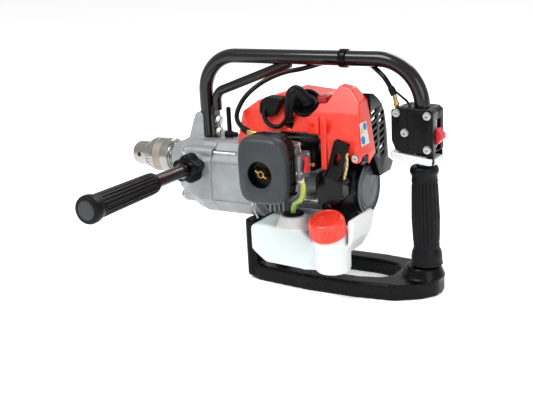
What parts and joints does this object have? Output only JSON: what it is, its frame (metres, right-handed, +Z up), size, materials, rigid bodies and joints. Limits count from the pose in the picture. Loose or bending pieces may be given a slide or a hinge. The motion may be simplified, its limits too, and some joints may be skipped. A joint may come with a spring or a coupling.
{
  "type": "petrol engine drill",
  "caption": "Hand-held petrol engine drill power head with a keyed chuck, reduction gear case, tubular frame, side handle, recoil starter and base guard.",
  "frame": {"origin": "centre of the chuck's mouth, on the spindle's axis", "axes": "+X runs back along the spindle from the chuck to the rear grip, +Z is up, and -Y is the side of the air cleaner and the side handle"},
  "size_m": [0.4203, 0.306, 0.2747],
  "materials": {
    "frame_paint": "gloss",
    "bright_steel": "satin",
    "chuck_steel": "polished",
    "chuck_band": "matte",
    "case_alloy": "matte",
    "engine_alloy": "matte",
    "muffler_steel": "satin",
    "black_rubber": "matte",
    "black_plastic": "matte",
    "black_gloss": "gloss",
    "cover_grey": "satin",
    "cover_red": "gloss",
    "switch_red": "gloss",
    "tank_plastic": "satin",
    "line_plastic": "gloss",
    "plate_grey": "satin",
    "brass_fitting": "satin",
    "filter_foam": "matte",
    "dark_steel": "satin",
    "rope_fibre": "matte"
  },
  "bodies": {
    "power_head": {"frame_tube": "frame_paint", "brace_tube": "frame_paint", "hex_bolts": "bright_steel", "cable_clip": "black_plastic", "rear_grip": "black_rubber", "base_guard": "black_plastic", "switch_box_near": "black_plastic", "switch_box_far": "black_plastic", "housing_screws": "bright_steel", "cable_fittings": "brass_fitting", "throttle_cable": "black_plastic", "switch_wire": "black_plastic", "gear_case_front": "case_alloy", "gear_case_rear": "case_alloy", "shaft_bearings": "bright_steel", "crankcase": "engine_alloy", "cylinder": "engine_alloy", "ignition_coil": "black_plastic", "spark_plug": "bright_steel", "plug_cap": "black_rubber", "ignition_lead": "black_rubber", "lead_boot": "black_rubber", "engine_cover": "cover_red", "muffler": "muffler_steel", "muffler_guard": "black_plastic", "intake_insulator": "black_plastic", "carburettor": "engine_alloy", "air_cleaner_body": "black_plastic", "filter_element": "filter_foam", "air_cleaner_cover": "cover_grey", "fuel_tank": "tank_plastic", "tank_grommet": "black_rubber", "fuel_line": "line_plastic", "starter_housing": "black_gloss", "side_handle_rod": "frame_paint", "side_handle_grip": "black_rubber", "starter_rope": "rope_fibre"},
    "spindle": {"output_spindle": "dark_steel", "output_gear": "dark_steel", "chuck_body": "chuck_steel"},
    "sleeve": {"chuck_sleeve": "chuck_band"},
    "jaw_a": {"chuck_jaw_a": "dark_steel"},
    "jaw_b": {"chuck_jaw_b": "dark_steel"},
    "jaw_c": {"chuck_jaw_c": "dark_steel"},
    "layshaft": {"intermediate_gear": "dark_steel"},
    "drum": {"clutch_drum": "dark_steel"},
    "crank": {"crankshaft": "dark_steel", "flywheel": "engine_alloy", "clutch_shoes": "dark_steel"},
    "piston_set": {"piston": "engine_alloy", "connecting_rod": "dark_steel"},
    "pulley": {"starter_pulley": "black_plastic"},
    "pull_handle": {"starter_grip": "black_plastic"},
    "lever": {"throttle_lever": "plate_grey"},
    "switch": {"switch_knob": "switch_red"},
    "choke": {"choke_lever": "switch_red"},
    "shift": {"shift_lever": "black_plastic"},
    "cap": {"fuel_cap": "cover_red"},
    "nut": {"wing_nut": "brass_fitting"},
    "handle_lock": {"side_handle_knob": "black_plastic"}
  },
  "joints": [
    {"name": "spindle_spin", "type": "hinge", "parent": "power_head", "child": "spindle", "pos_m": [0.093, 0, 0], "axis": [1, 0, 0], "continuous": true},
    {"name": "sleeve_turn", "type": "hinge", "parent": "spindle", "child": "sleeve", "pos_m": [0.042, 0, 0], "axis": [1, 0, 0], "range_deg": [0, 4560]},
    {"name": "jaw_slide_a", "type": "slide", "parent": "spindle", "child": "jaw_a", "axis": [-0.9703, 0.1022, -0.2193], "range_m": [0, 0.019]},
    {"name": "jaw_slide_b", "type": "slide", "parent": "spindle", "child": "jaw_b", "axis": [-0.9703, 0.1388, 0.1982], "range_m": [0, 0.019]},
    {"name": "jaw_slide_c", "type": "slide", "parent": "spindle", "child": "jaw_c", "axis": [-0.9703, -0.241, 0.0211], "range_m": [0, 0.019]},
    {"name": "layshaft_spin", "type": "hinge", "parent": "power_head", "child": "layshaft", "pos_m": [0.143, 0.02223, -0.01349], "axis": [1, 0, 0], "continuous": true},
    {"name": "drum_spin", "type": "hinge", "parent": "power_head", "child": "drum", "pos_m": [0.163, 0, -0.0194], "axis": [1, 0, 0], "continuous": true},
    {"name": "crank_spin", "type": "hinge", "parent": "power_head", "child": "crank", "pos_m": [0.263, 0, -0.0194], "axis": [1, 0, 0], "continuous": true},
    {"name": "piston_stroke", "type": "slide", "parent": "power_head", "child": "piston_set", "axis": [0, 0, 1], "range_m": [0, 0.028]},
    {"name": "starter_pull", "type": "slide", "parent": "power_head", "child": "pull_handle", "axis": [0.3311, -0.1405, 0.9331], "range_m": [0, 0.55], "stiffness_N_per_m": 15, "springref_m": -0.4, "deforming": ["starter_rope"]},
    {"name": "pulley_spin", "type": "hinge", "parent": "power_head", "child": "pulley", "pos_m": [0.316, 0, -0.0194], "axis": [1, 0, 0], "range_deg": [0, 1740]},
    {"name": "throttle_press", "type": "hinge", "parent": "power_head", "child": "lever", "pos_m": [0.40964, 0, 0.02147], "axis": [0, -1, 0], "range_deg": [0, 8], "stiffness_Nm_per_rad": 2, "springref_deg": -11.46},
    {"name": "switch_slide", "type": "slide", "parent": "power_head", "child": "switch", "axis": [0, 0, 1], "range_m": [0, 0.01]},
    {"name": "choke_turn", "type": "hinge", "parent": "power_head", "child": "choke", "pos_m": [0.2885, -0.074, 0.029], "axis": [-1, 0, 0], "range_deg": [0, 70]},
    {"name": "shift_rock", "type": "hinge", "parent": "power_head", "child": "shift", "pos_m": [0.143, 0, 0.0325], "axis": [1, 0, 0], "range_deg": [-18, 18]},
    {"name": "cap_turn", "type": "hinge", "parent": "power_head", "child": "cap", "pos_m": [0.312, -0.071, -0.055], "axis": [0, -0.3102, 0.9507], "range_deg": [0, 450]},
    {"name": "nut_turn", "type": "hinge", "parent": "power_head", "child": "nut", "pos_m": [0.2525, -0.105, 0.0174], "axis": [0, -1, 0], "range_deg": [0, 1530]},
    {"name": "handle_lock_turn", "type": "hinge", "parent": "power_head", "child": "handle_lock", "pos_m": [0.1205, -0.06, 0.0015], "axis": [0, -1, 0], "range_deg": [0, 810]}
  ],
  "couplings": [
    {"joint": "layshaft_spin", "follows": "spindle_spin", "ratio": -3.3333},
    {"joint": "drum_spin", "follows": "spindle_spin", "ratio": 12},
    {"joint": "pulley_spin", "follows": "starter_pull", "rad_per_m": 55},
    {"joint": "jaw_slide_a", "follows": "sleeve_turn", "m_per_rad": 0.000238},
    {"joint": "jaw_slide_b", "follows": "sleeve_turn", "m_per_rad": 0.000238},
    {"joint": "jaw_slide_c", "follows": "sleeve_turn", "m_per_rad": 0.000238}
  ]
}
